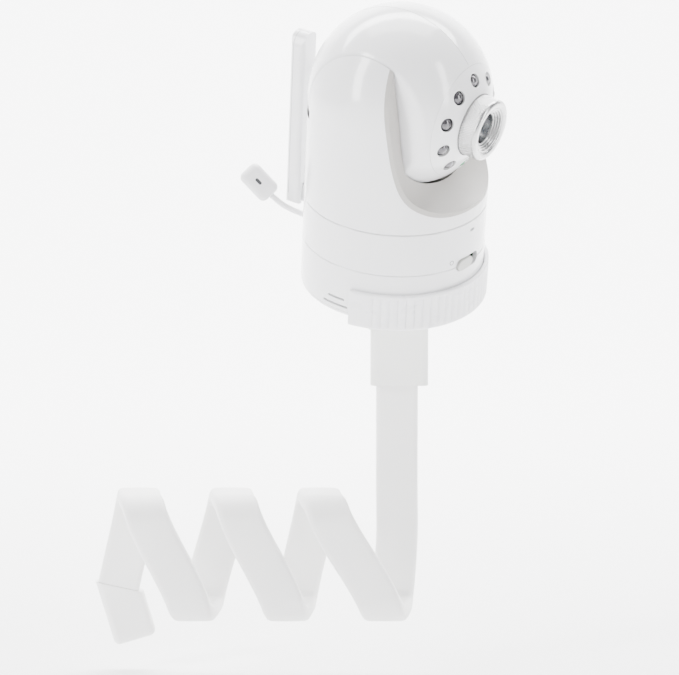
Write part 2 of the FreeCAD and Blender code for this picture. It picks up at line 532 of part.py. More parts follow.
ringw = revolve_z([(CRADLE_RI, CRADLE_FLOOR), (CRADLE_RI, CRADLE_TOP - 0.5), (CRADLE_RI + 0.5, CRADLE_TOP), (CRADLE_RO - 0.5, CRADLE_TOP),
                   (CRADLE_RO, CRADLE_TOP - 0.5), (CRADLE_RO, CRADLE_LOW + 1.4), (CRADLE_RO - 0.4, CRADLE_LOW + 0.4),
                   (CRADLE_RO - 1.4, CRADLE_LOW), (CRADLE_RI - 3, CRADLE_LOW), (CRADLE_RI - 3, CRADLE_FLOOR)])
ringw = ringw.common(wedge(60, -20, 20, CRADLE_SPAN))
floor = cyl(CRADLE_RI - 2.0, CRADLE_FLOOR - CRADLE_LOW, V(0, 0, CRADLE_LOW)).common(
    wedge(60, -20, 20, CRADLE_SPAN).fuse(cyl(20.0, 20, V(0, 0, -15))))
cr = ringw.fuse(floor)
cr = cr.copy()
cr.Placement = UNIT.multiply(cr.Placement)
lug = cyl(7.0, 10.0, PIVOT - X * 5.0, X)
up = V(0, ax_a.y, ax_a.z)
up.normalize()
lug_web = box(-5, 5, -7.0, 7.0, 0, PIVOT_DROP - 8.9)
lug_web.Placement = FreeCAD.Placement(PIVOT, FreeCAD.Rotation(X, math.degrees(tau)))
cr = cr.fuse([lug, lug_web]).cut(cyl(2.55, 40, PIVOT - X * 20, X))
save("cradle", cr, unit=False)

# ------------------------------------------------ neck
NX = PIVOT.x
neck = rbox(1.0 - NECK_W / 2, 1.0 + NECK_W / 2, ARM_Y - NECK_T / 2, ARM_Y + NECK_T / 2, NECK_Z0, NECK_Z1, 3.0, "z")
for x0, x1 in ((NX - 9.8, NX - 5.3), (NX + 5.3, NX + 9.8)):
    neck = neck.fuse(cyl(7.0, x1 - x0, V(x0, PIVOT.y, PIVOT.z), X)).fuse(
        box(x0, x1, PIVOT.y - 7.0, PIVOT.y + 7.0, NECK_Z1 - 2, PIVOT.z))
neck = neck.cut(cyl(2.5, 40, V(NX - 20, PIVOT.y, PIVOT.z), X))
neck = neck.cut(box(-ARM_W / 2 - 0.1, ARM_W / 2 + 0.1, ARM_Y - ARM_T / 2 - 0.1, ARM_Y + ARM_T / 2 + 0.1, NECK_Z0 - 1, ARM_TOP + 0.2))
for z in NECK_SCREW_Z:
    neck = neck.cut(cyl(1.5, 20, V(0, ARM_Y + 2, z), Y)).cut(cyl(2.9, 5, V(0, ARM_Y + NECK_T / 2 - 1.2, z), Y))
save("neck_sleeve", neck, unit=False)
upper = rbox(-ARM_W / 2, ARM_W / 2, ARM_Y - ARM_T / 2, ARM_Y + ARM_T / 2, FLEX_Z, ARM_TOP, 2.2, "z").fuse(
    cyl(ARM_T / 2, ARM_W - 4.4, V(-ARM_W / 2 + 2.2, ARM_Y, FLEX_Z), X))
for z in NECK_SCREW_Z:
    upper = upper.cut(cyl(1.5, 8, V(0, ARM_Y, z), Y))
upper = upper.cut(box(-5.0, 5.0, ARM_Y - 0.75, ARM_Y + 0.75, FLEX_Z + 0.5, 78.6))
save("arm_upper", upper, unit=False)
save("arm_core_upper", box(-4.9, 4.9, ARM_Y - 0.7, ARM_Y + 0.7, FLEX_Z + 0.6, 78.5), unit=False)
save("neck_screws", Part.makeCompound([cyl(1.45, 6.0, V(0, ARM_Y + 0.2, z), Y).fuse(
    cyl(2.7, 1.1, V(0, ARM_Y + NECK_T / 2 - 1.15, z), Y)).cut(box(-2, 2, ARM_Y + NECK_T / 2 - 0.6, ARM_Y + 9, z - 0.3, z + 0.3))
    for z in NECK_SCREW_Z]), unit=False)
save("pivot_bolt", cyl(2.48, 23.5, V(NX - 9.8, PIVOT.y, PIVOT.z), X).fuse(
    cyl(4.2, 2.4, V(NX - 12.2, PIVOT.y, PIVOT.z), X)).cut(
    Part.Face(Part.makePolygon([V(NX - 12.3, PIVOT.y + 2.0 * math.cos(PI / 3 * i), PIVOT.z + 2.0 * math.sin(PI / 3 * i))
                                for i in range(7)])).extrude(V(1.5, 0, 0))), unit=False)
nut = Part.Face(Part.makePolygon([V(NX + 9.85, PIVOT.y + 4.5 * math.cos(PI / 3 * i), PIVOT.z + 4.5 * math.sin(PI / 3 * i))
                                  for i in range(7)])).extrude(V(3.2, 0, 0)).cut(cyl(2.5, 8, V(NX + 8, PIVOT.y, PIVOT.z), X))
save("pivot_nut", nut, unit=False)

# ------------------------------------------------ flexible arm wound round the rail
# The centre line lies on a rounded box round the rail. S is the way round it, XW the place along the rail.
HY, HZ, RC = ARM_Y - 0.05, RAIL_Z + 0.3 + ARM_T / 2, 7.4
segs = [("b", 2 * (HZ - RC)), ("c", RC * PI / 2), ("u", 2 * (HY - RC)), ("c", RC * PI / 2)]


def ring_at(s):
    """Point and outward normal on the rounded box, s from the middle of the rear face going down."""
    if s < 0:                               # upright: straight up the rear
        return (HY, -s), (1, 0)
    per = 4 * (HY - RC) + 4 * (HZ - RC) + 2 * PI * RC
    s = s % per
    a, b, q = HZ - RC, HY - RC, RC * PI / 2
    if s < a:
        return (HY, -s), (1, 0)
    s -= a
    if s < q:
        t = s / RC
        return (b + RC * math.cos(t), -a - RC * math.sin(t)), (math.cos(t), -math.sin(t))
    s -= q
    if s < 2 * b:
        return (b - s, -HZ), (0, -1)
    s -= 2 * b
    if s < q:
        t = s / RC
        return (-b - RC * math.sin(t), -a - RC * math.cos(t)), (-math.sin(t), -math.cos(t))
    s -= q
    if s < 2 * a:
        return (-HY, -a + s), (-1, 0)
    s -= 2 * a
    if s < q:
        t = s / RC
        return (-b - RC * math.cos(t), a + RC * math.sin(t)), (-math.cos(t), math.sin(t))
    s -= q
    if s < 2 * b:
        return (-b + s, HZ), (0, 1)
    s -= 2 * b
    if s < q:
        t = s / RC
        return (b + RC * math.sin(t), a + RC * math.cos(t)), (math.sin(t), math.cos(t))
    s -= q
    return (HY, a - s), (1, 0)


PER = 4 * (HY - RC) + 4 * (HZ - RC) + 2 * PI * RC
A_, B_, Q_ = HZ - RC, HY - RC, RC * PI / 2
bot_b, bot_f = A_ + Q_ / 2, A_ + Q_ * 1.5 + 2 * B_
top_f, top_b = A_ + Q_ * 2.5 + 2 * B_ + 2 * A_, A_ + Q_ * 3.5 + 4 * B_ + 2 * A_
WRAP_X = [(0, bot_b, -2.0), (0, bot_f, -6.7), (0, top_f, -31.7), (0, top_b, -36.0),
          (1, bot_b, -46.0), (1, bot_f, -50.4), (1, top_f, -71.7), (1, top_b, -76.0),
          (2, bot_b, -88.3), (2, bot_f, -92.7), (2, top_f, -113.6), (2, top_b, -118.0)]
S_START = -29.5          # top of the lower arm on the rear side, above the rail's middle
S_END = 3 * PER + 17.6
knots = [(S_START, 0.0), (-6.0, 0.1)] + [(n * PER + s, x) for n, s, x in WRAP_X] + [(S_END, -127.0)]


def xw(s):
    """Monotone cubic through the knots."""
    n = len(knots)
    d = [(knots[i + 1][1] - knots[i][1]) / (knots[i + 1][0] - knots[i][0]) for i in range(n - 1)]
    m = [d[0]] + [0.5 * (d[i - 1] + d[i]) for i in range(1, n - 1)] + [d[-1]]
    m[0] = 0.0
    for i in range(n - 1):
        if knots[i][0] <= s <= knots[i + 1][0] + 1e-9:
            h = knots[i + 1][0] - knots[i][0]
            t = (s - knots[i][0]) / h
            y0, y1 = knots[i][1], knots[i + 1][1]
            v = (2 * t ** 3 - 3 * t * t + 1) * y0 + (t ** 3 - 2 * t * t + t) * h * m[i] + (-2 * t ** 3 + 3 * t * t) * y1 + (t ** 3 - t * t) * h * m[i + 1]
            dv = ((6 * t * t - 6 * t) * (y0 - y1)) / h + (3 * t * t - 4 * t + 1) * m[i] + (3 * t * t - 2 * t) * m[i + 1]
            return v, dv
    raise ValueError(s)


def band_section(s, w, t):
    (y, z), (ny, nz) = ring_at(s)
    x, dx = xw(s)
    n = V(0, ny, nz)
    ts = V(0, nz, -ny)                      # way round, going down the rear face
    tan = ts + X * dx
    tan.normalize()
    wd = tan.cross(n)
    wd.normalize()
    c = V(x, y, z)
    hw, ht, ch = w / 2, t / 2, min(1.8, t * 0.26)
    prof = [(-hw, -ht + ch), (-hw + ch, -ht), (hw - ch, -ht), (hw, -ht + ch), (hw, ht - ch), (hw - ch, ht), (-hw + ch, ht), (-hw, ht - ch)]
    return [c + wd * p + n * q for p, q in prof]


def band_solid(sts, w, t):
    """Strap of flat facets through the sections."""
    secs = [band_section(s, w, t) for s in sts]
    faces = [poly_face(secs[0]), poly_face(secs[-1])]
    m = len(secs[0])
    for a, b in zip(secs, secs[1:]):
        for k in range(m):
            q = [a[k], a[(k + 1) % m], b[(k + 1) % m], b[k]]
            nn = (q[1] - q[0]).cross(q[2] - q[0])
            nn.normalize()
            if abs((q[3] - q[0]).dot(nn)) < 1e-7:
                faces.append(poly_face(q))
            else:
                faces += [poly_face([q[0], q[1], q[2]]), poly_face([q[0], q[2], q[3]])]
    sh = Part.makeShell(faces)
    so = Part.Solid(sh)
    if so.Volume < 0:
        so.reverse()
    return so


def stations(s0, s1):
    st = [s0]
    for n in range(0, int(s1 / PER) + 2):
        base = n * PER
        for c0 in (A_, A_ + Q_ + 2 * B_, A_ + 2 * Q_ + 2 * B_ + 2 * A_, A_ + 3 * Q_ + 4 * B_ + 2 * A_):
            for k in range(5):
                s = base + c0 + Q_ * k / 4
                if s0 + 2 < s < s1 - 2:
                    st.append(s)
    st.append(s1)
    return sorted(st)


st = stations(S_START, S_END)
band = band_solid(st, ARM_W, ARM_T)
print("band sections", len(st), "volume", round(band.Volume, 1), "valid", band.isValid())
st2 = [s for s in st if s > S_START + 1 and s < S_END - 1]
core = band_solid([S_START + 2] + st2 + [S_END - 2], 9.8, 1.4)
save("arm_lower", band, unit=False)
save("arm_core_lower", core, unit=False)
# end cap: moulded boot over the arm's end
CAP_LEN = 27.0
(yE, zE), (nyE, nzE) = ring_at(S_END)
xE, dxE = xw(S_END)
tanE = V(0, nzE, -nyE) + X * dxE
tanE.normalize()
capd = V(0.30, 0, -1); capd.normalize()
cw = capd.cross(V(0, 1, 0)); cw.normalize()
cap = rbox(-9.8, 9.8, -4.9, 4.9, -8.0, CAP_LEN, 3.4, "z")
try:
    c2 = cap.makeFillet(2.6, [e for e in cap.Edges if e.BoundBox.ZMin > CAP_LEN - 0.1])
    if c2.isValid():
        cap = c2
except Exception as ex:
    print("cap edges left sharp", ex)
m = FreeCAD.Matrix(cw.x, 0, capd.x, xE, cw.y, 1, capd.y, yE + 1.0, cw.z, 0, capd.z, zE + 1.0, 0, 0, 0, 1)
if m.determinant() < 0:
    m = FreeCAD.Matrix(-cw.x, 0, capd.x, xE, -cw.y, 1, capd.y, yE + 1.0, -cw.z, 0, capd.z, zE + 1.0, 0, 0, 0, 1)
cap.Placement = FreeCAD.Placement(m)
above = Part.makeBox(80, 80, 80, V(-40, -40, 0))
above.Placement = FreeCAD.Placement(V(xE, yE, zE), FreeCAD.Rotation(Z, -tanE))
cap = cap.cut(above)
save("arm_end_cap", max(cap.Solids, key=lambda q: q.Volume), unit=False)
print("pivot", [round(v / 1000, 6) for v in PIVOT], "axis", [round(v, 6) for v in ax_a], "side", [round(v, 6) for v in side],
      "front", [round(v, 6) for v in front])
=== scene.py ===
import json
import math
import bpy
import bmesh
import numpy as np
from mathutils import Matrix, Vector


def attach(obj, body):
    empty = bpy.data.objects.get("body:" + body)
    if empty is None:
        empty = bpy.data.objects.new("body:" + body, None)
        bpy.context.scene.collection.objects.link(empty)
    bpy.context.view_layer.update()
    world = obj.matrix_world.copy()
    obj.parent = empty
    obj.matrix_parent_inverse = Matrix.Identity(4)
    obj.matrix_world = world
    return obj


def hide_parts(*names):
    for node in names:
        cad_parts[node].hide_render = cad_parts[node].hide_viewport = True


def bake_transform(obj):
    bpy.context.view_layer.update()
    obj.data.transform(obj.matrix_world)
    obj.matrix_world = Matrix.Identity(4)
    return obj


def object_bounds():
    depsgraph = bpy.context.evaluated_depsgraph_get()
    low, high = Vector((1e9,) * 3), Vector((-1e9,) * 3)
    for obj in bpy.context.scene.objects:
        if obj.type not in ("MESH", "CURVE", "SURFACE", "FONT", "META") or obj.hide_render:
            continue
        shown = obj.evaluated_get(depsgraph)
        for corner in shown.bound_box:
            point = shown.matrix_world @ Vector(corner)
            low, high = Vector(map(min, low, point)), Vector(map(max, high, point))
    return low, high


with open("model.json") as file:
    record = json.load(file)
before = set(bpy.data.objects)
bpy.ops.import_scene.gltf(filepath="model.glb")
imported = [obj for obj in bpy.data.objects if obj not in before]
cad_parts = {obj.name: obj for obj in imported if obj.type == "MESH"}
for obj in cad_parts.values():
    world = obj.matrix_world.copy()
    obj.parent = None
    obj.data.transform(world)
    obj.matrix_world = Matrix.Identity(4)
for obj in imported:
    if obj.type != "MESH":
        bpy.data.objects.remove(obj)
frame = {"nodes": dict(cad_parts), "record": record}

cad_lo, cad_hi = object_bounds()
MM = 0.001

# ---------------------------------------------------------------- the leaning unit's own frame
SIDE = Vector((0.536913, 0.788859, 0.299042))
BACK = Vector((-0.842784, 0.485596, 0.232189))
UP = Vector((0.037951, -0.376693, 0.92556))
ORG = Vector((-2.42, 10.0, 129.87))
HEAD_Z = 85.75


def unit(x, y, z):
    """Unit frame in mm to the row frame in m."""
    return (ORG + SIDE * x + BACK * y + UP * z) * MM


def unit_dir(v):
    return (SIDE * v[0] + BACK * v[1] + UP * v[2]).normalized()


LT = math.radians(5.0)
LN = Vector((0, -math.cos(LT), -math.sin(LT)))
LU = Vector((0, -math.sin(LT), math.cos(LT)))
LR = Vector((1, 0, 0))
HC = Vector((0, 0, HEAD_Z))

# ---------------------------------------------------------------- camera
aim = Vector((-0.0261, 0.010, 0.0975))
el = math.radians(7.0)
cam_data = bpy.data.cameras.new("cam")
cam_data.sensor_width = 36.0
cam_data.lens = 211.14
cam_data.clip_start, cam_data.clip_end = 0.05, 50.0
cam = bpy.data.objects.new("cam", cam_data)
bpy.context.scene.collection.objects.link(cam)
cam.location = aim + 1.8 * Vector((0, -math.cos(el), math.sin(el)))
cam.rotation_euler = (aim - cam.location).to_track_quat("-Z", "Y").to_euler()
bpy.context.scene.camera = cam


# ---------------------------------------------------------------- materials
def surface(name, base, rough, grain=900.0, bump=0.05, vary=0.03, rough_vary=0.05, metallic=0.0, coat=0.0, coat_rough=0.1,
            ior=1.5, cell=None, sss=0.0, tint=None, spec=0.5, bump_dist=0.0001, aniso=0.0, transmission=0.0):
    m = bpy.data.materials.new(name)
    m.use_nodes = True
    nt = m.node_tree
    nd, lk = nt.nodes, nt.links
    bs = nd["Principled BSDF"]
    bs.inputs["Metallic"].default_value = metallic
    bs.inputs["IOR"].default_value = ior
    bs.inputs["Coat Weight"].default_value = coat
    bs.inputs["Coat Roughness"].default_value = coat_rough
    bs.inputs["Specular IOR Level"].default_value = spec
    bs.inputs["Anisotropic"].default_value = aniso
    bs.inputs["Transmission Weight"].default_value = transmission
    if sss:
        bs.inputs["Subsurface Weight"].default_value = sss
        bs.inputs["Subsurface Scale"].default_value = 0.002
        bs.inputs["Subsurface Radius"].default_value = (1.0, 0.9, 0.8)
    tc = nd.new("ShaderNodeTexCoord")
    n1 = nd.new("ShaderNodeTexNoise")
    n1.inputs["Scale"].default_value = 38.0
    n1.inputs["Detail"].default_value = 3.0
    lk.new(tc.outputs["Object"], n1.inputs["Vector"])
    ramp = nd.new("ShaderNodeValToRGB")
    lo = [max(0.0, c * (1 - vary)) for c in base]
    hi = [min(1.0, c * (1 + vary * 0.5)) for c in base]
    if tint:
        lo = [a * b for a, b in zip(lo, tint)]
    ramp.color_ramp.elements[0].position, ramp.color_ramp.elements[1].position = 0.3, 0.7
    ramp.color_ramp.elements[0].color = (*lo, 1)
    ramp.color_ramp.elements[1].color = (*hi, 1)
    lk.new(n1.outputs["Fac"], ramp.inputs["Fac"])
    lk.new(ramp.outputs["Color"], bs.inputs["Base Color"])
    n2 = nd.new("ShaderNodeTexNoise")
    n2.inputs["Scale"].default_value = 160.0
    n2.inputs["Detail"].default_value = 4.0
    lk.new(tc.outputs["Object"], n2.inputs["Vector"])
    mr = nd.new("ShaderNodeMapRange")
    mr.inputs["From Min"].default_value, mr.inputs["From Max"].default_value = 0.3, 0.7
    mr.inputs["To Min"].default_value, mr.inputs["To Max"].default_value = max(0.02, rough - rough_vary), rough + rough_vary
    lk.new(n2.outputs["Fac"], mr.inputs["Value"])
    lk.new(mr.outputs["Result"], bs.inputs["Roughness"])
    if cell:
        n3 = nd.new("ShaderNodeTexVoronoi")
        n3.inputs["Scale"].default_value = cell
        out = n3.outputs["Distance"]
    else:
        n3 = nd.new("ShaderNodeTexNoise")
        n3.inputs["Scale"].default_value = grain
        n3.inputs["Detail"].default_value = 5.0
        out = n3.outputs["Fac"]
    lk.new(tc.outputs["Object"], n3.inputs["Vector"])
    bp = nd.new("ShaderNodeBump")
    bp.inputs["Strength"].default_value = bump
    bp.inputs["Distance"].default_value = bump_dist
    lk.new(out, bp.inputs["Height"])
    lk.new(bp.outputs["Normal"], bs.inputs["Normal"])
    return m


M = {
    "shell_white": surface("m_shell", (0.84, 0.84, 0.85), 0.17, grain=320, bump=0.03, vary=0.012, rough_vary=0.03, coat=0.35, coat_rough=0.08),
    "liner_grey": surface("m_liner", (0.40, 0.385, 0.365), 0.44, cell=2600, bump=0.22, vary=0.02, rough_vary=0.05),
    "cradle_white": surface("m_cradle", (0.87, 0.868, 0.885), 0.30, grain=700, bump=0.06, vary=0.015, sss=0.12),
    "arm_rubber": surface("m_arm", (0.86, 0.855, 0.845), 0.50, cell=3200, bump=0.16, vary=0.018, rough_vary=0.07, sss=0.08),
    "neck_white": surface("m_neck", (0.83, 0.835, 0.81), 0.42, cell=2800, bump=0.12, vary=0.02, tint=(0.995, 1.0, 0.985)),
    "core_steel": surface("m_core", (0.55, 0.55, 0.56), 0.38, grain=1500, bump=0.1, metallic=1.0),
    "fastener_steel": surface("m_fast", (0.62, 0.62, 0.63), 0.28, grain=1800, bump=0.08, metallic=1.0),
    "lens_metal": surface("m_lensring", (0.60, 0.60, 0.60), 0.27, grain=2200, bump=0.06, metallic=1.0, rough_vary=0.05),
    "lens_black": surface("m_lensblack", (0.035, 0.035, 0.04), 0.45, grain=1400, bump=0.08),
    "lens_glass": surface("m_lensglass", (0.035, 0.045, 0.06), 0.05, grain=80, bump=0.005, rough_vary=0.01, coat=1.0, coat_rough=0.02, ior=1.7),
    "led_clear": surface("m_led", (0.11, 0.105, 0.115), 0.08, grain=120, bump=0.02, vary=0.25, rough_vary=0.02, metallic=0.7, coat=0.9, coat_rough=0.03, ior=1.55),
    "sensor_green": surface("m_green", (0.015, 0.20, 0.07), 0.22, grain=120, bump=0.02, rough_vary=0.02, coat=0.3, coat_rough=0.1),
    "switch_grey": surface("m_switch", (0.50, 0.50, 0.475), 0.38, cell=2600, bump=0.14, vary=0.02),
    "light_pipe": surface("m_pipe", (0.10, 0.11, 0.12), 0.16, grain=500, bump=0.03, coat=0.5),
    "board_green": surface("m_board", (0.05, 0.20, 0.11), 0.35, grain=900, bump=0.2, vary=0.2),
    "chip_black": surface("m_chip", (0.04, 0.04, 0.042), 0.55, grain=1600, bump=0.15),
    "motor_metal": surface("m_motor", (0.58, 0.58, 0.60), 0.32, grain=1200, bump=0.1, metallic=1.0),
    "gear_nylon": surface("m_nylon", (0.82, 0.80, 0.74), 0.45, grain=900, bump=0.1, sss=0.1),
    "feet_rubber": surface("m_feet", (0.28, 0.28, 0.285), 0.72, cell=2400, bump=0.25),
    "speaker_black": surface("m_speaker", (0.05, 0.05, 0.05), 0.60, grain=1000, bump=0.25),
    "lead_white": surface("m_lead", (0.78, 0.775, 0.785), 0.42, grain=1100, bump=0.10, vary=0.02),
}
M["chrome_cup"] = surface("m_cup", (0.50, 0.50, 0.52), 0.12, grain=500, bump=0.03, metallic=1.0, rough_vary=0.03)
# lamp hole rims: a lighter, glossier copy of the shell white, a painted highlight on the bevel edges
M["rim_white"] = surface("m_rim_painted_highlight", (0.93, 0.93, 0.935), 0.12, grain=400, bump=0.02, coat=0.6, coat_rough=0.05, vary=0.01)
M["mark_grey"] = surface("m_mark", (0.16, 0.16, 0.17), 0.50, grain=900, bump=0.05)
M["seam_grey"] = surface("m_seam", (0.34, 0.34, 0.35), 0.60, grain=900, bump=0.05)

slots = {s["node"]: s["material_slot"] for s in frame["record"]["subparts"]}
for name, ob in frame["nodes"].items():
    ob.data.materials.clear()
    ob.data.materials.append(M[slots[name]])


# ---------------------------------------------------------------- mesh helpers
def make(name, verts, faces, material, smooth=True, angle=38):
    me = bpy.data.meshes.new(name)
    me.from_pydata([tuple(v) for v in verts], [], faces)
    bm = bmesh.new()
    bm.from_mesh(me)
    bmesh.ops.remove_doubles(bm, verts=bm.verts, dist=1e-7)
    bmesh.ops.recalc_face_normals(bm, faces=bm.faces)
    bm.to_mesh(me)
    bm.free()
    for p in me.polygons:
        p.use_smooth = smooth
    if smooth:
        me.set_sharp_from_angle(angle=math.radians(angle))
    me.materials.append(material)
    ob = bpy.data.objects.new(name, me)
    bpy.context.scene.collection.objects.link(ob)
    return ob


def grid_faces(rows, cols, closed_cols=True, closed_rows=False, base=0):
    out = []
    for i in range(rows if closed_rows else rows - 1):
        for k in range(cols if closed_cols else cols - 1):
            a = base + i * cols + k
            b = base + i * cols + (k + 1) % cols
            c = base + ((i + 1) % rows) * cols + (k + 1) % cols
            d = base + ((i + 1) % rows) * cols + k
            out.append((a, b, c, d))
    return out


def frame_of(d):
    """Two unit vectors square to d, in the unit frame."""
    d = d.normalized()
    u = d.cross(Vector((0, 0, 1)) if abs(d.z) < 0.9 else Vector((1, 0, 0))).normalized()
    return u, d.cross(u).normalized()


def turned(profile, centre, d, seg=48):
    """Surface of revolution: profile of (r, h) about the line centre + d*h, unit frame mm. A closed profile gives a solid ring."""
    u, w = frame_of(d)
    verts = []
    for r, h in profile:
        for k in range(seg):
            t = 2 * math.pi * k / seg
            p = centre + d * h + (u * math.cos(t) + w * math.sin(t)) * r
            verts.append(unit(*p))
    return verts


# ---------------------------------------------------------------- room sensor lead (the only free cord)
LEAD = [(7.6, 42.4, 5.4), (4.9, 46.6, 7.9), (0.4, 49.2, 11.3), (-6.0, 51.2, 15.6), (-11.0, 53.8, 19.9), (-13.9, 57.0, 24.4)]
cd = bpy.data.curves.new("sensor_cord", "CURVE")
cd.dimensions = "3D"
sp = cd.splines.new("NURBS")
sp.points.add(len(LEAD) - 1)
for p, q in zip(sp.points, LEAD):
    v = unit(*q)
    p.co = (v.x, v.y, v.z, 1.0)
sp.order_u = 3
sp.use_endpoint_u = True
sp.resolution_u = 16
cd.bevel_depth = 1.3 * MM
cd.bevel_resolution = 6
cd.use_fill_caps = True
cd.materials.append(M["lead_white"])
cord = bpy.data.objects.new("sensor_cord", cd)
bpy.context.scene.collection.objects.link(cord)
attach(cord, "camera_base")
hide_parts("sensor_lead")

# ---------------------------------------------------------------- arm: one soft skin, wound round the rail and straight up behind
ARM_W, ARM_T, ARM_Y = 19.0, 7.5, 16.8
HY, HZ, RC = ARM_Y - 0.05, 21.0 + 0.3 + ARM_T / 2, 7.4
A_, B_, Q_ = HZ - RC, HY - RC, RC * math.pi / 2
PER = 4 * B_ + 4 * A_ + 2 * math.pi * RC
bot_b, bot_f = A_ + Q_ / 2, A_ + Q_ * 1.5 + 2 * B_
top_f, top_b = A_ + Q_ * 2.5 + 2 * B_ + 2 * A_, A_ + Q_ * 3.5 + 4 * B_ + 2 * A_
WRAP_X = [(0, bot_b, -2.0), (0, bot_f, -6.7), (0, top_f, -31.7), (0, top_b, -36.0),
          (1, bot_b, -46.0), (1, bot_f, -50.4), (1, top_f, -71.7), (1, top_b, -76.0),
          (2, bot_b, -88.3), (2, bot_f, -92.7), (2, top_f, -113.6), (2, top_b, -118.0)]
S_START, S_END = -29.5, 3 * PER + 17.6
KN = [(S_START, 0.0), (-6.0, 0.1)] + [(n * PER + s, x) for n, s, x in WRAP_X] + [(S_END, -127.0)]


def ring_at(s):
    if s < 0:
        return (HY, -s), (1, 0)
    s = s % PER
    for kind, length in (("b", A_), ("q1", Q_), ("u", 2 * B_), ("q2", Q_), ("f", 2 * A_), ("q3", Q_), ("t", 2 * B_), ("q4", Q_)):
        if s < length:
            break
        s -= length
    else:
        return (HY, A_ - s), (1, 0)
    t = s / RC
    return {
        "b": ((HY, -s), (1, 0)),
        "q1": ((B_ + RC * math.cos(t), -A_ - RC * math.sin(t)), (math.cos(t), -math.sin(t))),
        "u": ((B_ - s, -HZ), (0, -1)),
        "q2": ((-B_ - RC * math.sin(t), -A_ - RC * math.cos(t)), (-math.sin(t), -math.cos(t))),
        "f": ((-HY, -A_ + s), (-1, 0)),
        "q3": ((-B_ - RC * math.cos(t), A_ + RC * math.sin(t)), (-math.cos(t), math.sin(t))),
        "t": ((-B_ + s, HZ), (0, 1)),
        "q4": ((B_ + RC * math.sin(t), A_ + RC * math.cos(t)), (math.sin(t), math.cos(t))),
    }[kind]


def along(s):
    if s <= S_START:
        return 0.0, 0.0
    n = len(KN)
    d = [(KN[i + 1][1] - KN[i][1]) / (KN[i + 1][0] - KN[i][0]) for i in range(n - 1)]
    m = [0.0] + [0.5 * (d[i - 1] + d[i]) for i in range(1, n - 1)] + [d[-1]]
    for i in range(n - 1):
        if KN[i][0] <= s <= KN[i + 1][0] + 1e-9:
            h = KN[i + 1][0] - KN[i][0]
            t = (s - KN[i][0]) / h
            y0, y1 = KN[i][1], KN[i + 1][1]
            v = (2 * t**3 - 3 * t * t + 1) * y0 + (t**3 - 2 * t * t + t) * h * m[i] + (-2 * t**3 + 3 * t * t) * y1 + (t**3 - t * t) * h * m[i + 1]
            dv = ((6 * t * t - 6 * t) * (y0 - y1)) / h + (3 * t * t - 4 * t + 1) * m[i] + (3 * t * t - 2 * t) * m[i + 1]
            return v, dv
    return KN[-1][1], m[-1]


def strap_profile(w, t, r, crown):
    """Rounded rectangle, slightly crowned on its outer face, as (across, out)."""
    pts = []
    for cx, cy, a0 in ((w / 2 - r, t / 2 - r, 0), (-w / 2 + r, t / 2 - r, 90), (-w / 2 + r, -t / 2 + r, 180), (w / 2 - r, -t / 2 + r, 270)):
        for k in range(7):
            a = math.radians(a0 + 15 * k)
            pts.append([cx + r * math.cos(a), cy + r * math.sin(a)])
        if a0 == 0:
            for f in (0.5, 0.0, -0.5):
                pts.append([(w / 2 - r) * f, t / 2])
    for p in pts:
        if p[1] > 0:
            p[1] += crown * (max(0.0, 1 - (2 * p[0] / w) ** 2) - 0.6) if p[1] > t / 2 - 0.5 else 0.0
    return pts


prof = strap_profile(ARM_W, ARM_T, 2.5, 0.35)
stations = list(np.arange(-99.1, S_END - 0.2, 1.25)) + [S_END - 0.2]
verts = []
for s in stations:
    (y, z), (ny, nz) = ring_at(s)
    x, dx = along(s)
    nrm = Vector((0, ny, nz))
    tan = (Vector((0, nz, -ny)) + Vector((1, 0, 0)) * dx).normalized()
    wd = tan.cross(nrm).normalized()
    c = Vector((x, y + (0.05 if s < -30 else 0.0), z))
    for p, q in prof:
        verts.append((c + wd * p + nrm * q) * MM)
m_ = len(prof)
faces = grid_faces(len(stations), m_)
faces += [tuple(range(m_)), tuple(range((len(stations) - 1) * m_, len(stations) * m_))[::-1]]
arm = make("arm_skin", verts, faces, M["arm_rubber"], angle=60)
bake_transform(arm)
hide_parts("arm_lower", "arm_upper")

# ---------------------------------------------------------------- cradle: fluted wall, floor and pivot lug
RI, RO, LOW, FLOOR, TOP, SPAN = 41.3, 43.3, -9.9, -8.0, 7.7, 84.7
sec = [(RI, FLOOR + 0.2, 0), (RI, TOP - 0.5, 0), (RI + 0.25, TOP - 0.12, 0), (RI + 0.6, TOP, 0), (RO - 0.6, TOP, 0), (RO - 0.2, TOP - 0.14, 0),
       (RO, TOP - 0.5, 0), (RO, TOP - 1.5, 0), (RO, TOP - 2.1, 1), (RO, 0, 1), (RO, LOW + 2.6, 1), (RO, LOW + 1.7, 0.4), (RO - 0.12, LOW + 1.0, 0),
       (RO - 0.45, LOW + 0.4, 0), (RO - 1.0, LOW + 0.08, 0), (RO - 1.5, LOW, 0), (RI - 2.5, LOW, 0), (RI - 2.5, FLOOR, 0)]
PITCH = 5.0
n_a = int(2 * SPAN / 0.36)
verts = []
for i in range(n_a + 1):
    dl = -SPAN + 2 * SPAN * i / n_a
    ph = ((dl + SPAN) % PITCH) / PITCH
    edge = min(1.0, max(0.0, (dl + SPAN - 11.0) / 1.5)) * min(1.0, max(0.0, (SPAN - dl - 3.0) / 1.5))
    dip = 0.95 * (1 - abs(math.sin(math.pi * ph)) ** 0.55) * edge
    a = math.radians(dl)
    for r, z, fl in sec:
        rr = r - dip * fl
        verts.append(unit(rr * math.sin(a), -rr * math.cos(a), z))
k_ = len(sec)
faces = grid_faces(n_a + 1, k_)
faces += [tuple(range(k_)), tuple(range(n_a * k_, (n_a + 1) * k_))[::-1]]
wall = make("cradle_wall", verts, faces, M["cradle_white"], angle=42)
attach(wall, "cradle")
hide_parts("cradle")

